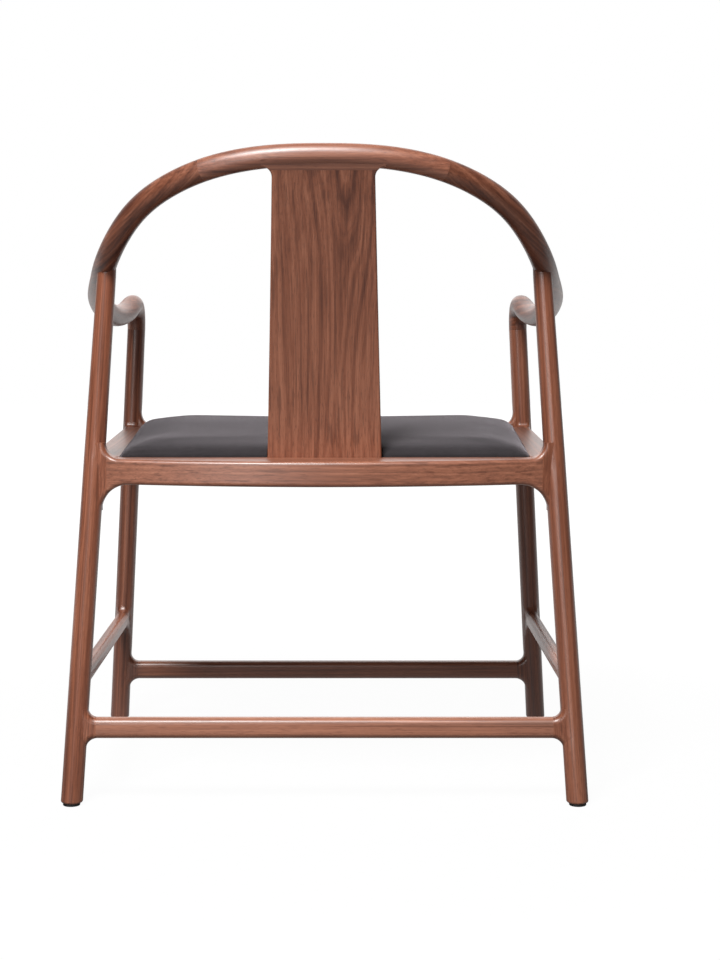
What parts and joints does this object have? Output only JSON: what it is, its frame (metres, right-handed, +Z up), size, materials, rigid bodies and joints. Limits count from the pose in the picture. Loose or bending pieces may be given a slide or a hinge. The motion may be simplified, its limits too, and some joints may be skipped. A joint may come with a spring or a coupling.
{
  "type": "horseshoe chair",
  "caption": "Horseshoe-back chair in dark wood: a curved crest rail sweeps into low arms on the front posts, with a plain back splat, a padded seat and low stretchers.",
  "frame": {"origin": "on the floor, under the middle of the chair's bounding box", "axes": "+Z up, +Y towards the chair's back, +X towards the sitter's left"},
  "size_m": [0.6432, 0.558, 0.7933],
  "materials": {
    "frame_wood": "satin",
    "dowel_wood": "matte",
    "block_wood": "matte",
    "plywood": "matte",
    "foam": "matte",
    "seat_fabric": "matte",
    "dust_cloth": "matte",
    "steel": "satin",
    "glide_plastic": "matte"
  },
  "bodies": {
    "root": {"leg_rear_left": "frame_wood", "leg_rear_right": "frame_wood", "leg_front_left": "frame_wood", "leg_front_right": "frame_wood", "seat_rail_rear": "frame_wood", "seat_rail_front": "frame_wood", "seat_rail_left": "frame_wood", "seat_rail_right": "frame_wood", "stretcher_rear": "frame_wood", "stretcher_front": "frame_wood", "stretcher_left": "frame_wood", "stretcher_right": "frame_wood", "back_splat": "frame_wood", "crest_back": "frame_wood", "crest_shoulder_left": "frame_wood", "crest_shoulder_right": "frame_wood", "arm_left": "frame_wood", "arm_right": "frame_wood", "crest_dowels": "dowel_wood", "corner_block_rear_left": "block_wood", "corner_block_rear_right": "block_wood", "corner_block_front_left": "block_wood", "corner_block_front_right": "block_wood", "corner_block_screws": "steel", "seat_panel_screws": "steel", "seat_staples": "steel", "glide_nails": "steel", "seat_panel": "plywood", "seat_foam": "foam", "seat_cover": "seat_fabric", "seat_dust_cover": "dust_cloth", "foot_glide_rear_left": "glide_plastic", "foot_glide_rear_right": "glide_plastic", "foot_glide_front_left": "glide_plastic", "foot_glide_front_right": "glide_plastic"}
  },
  "joints": []
}
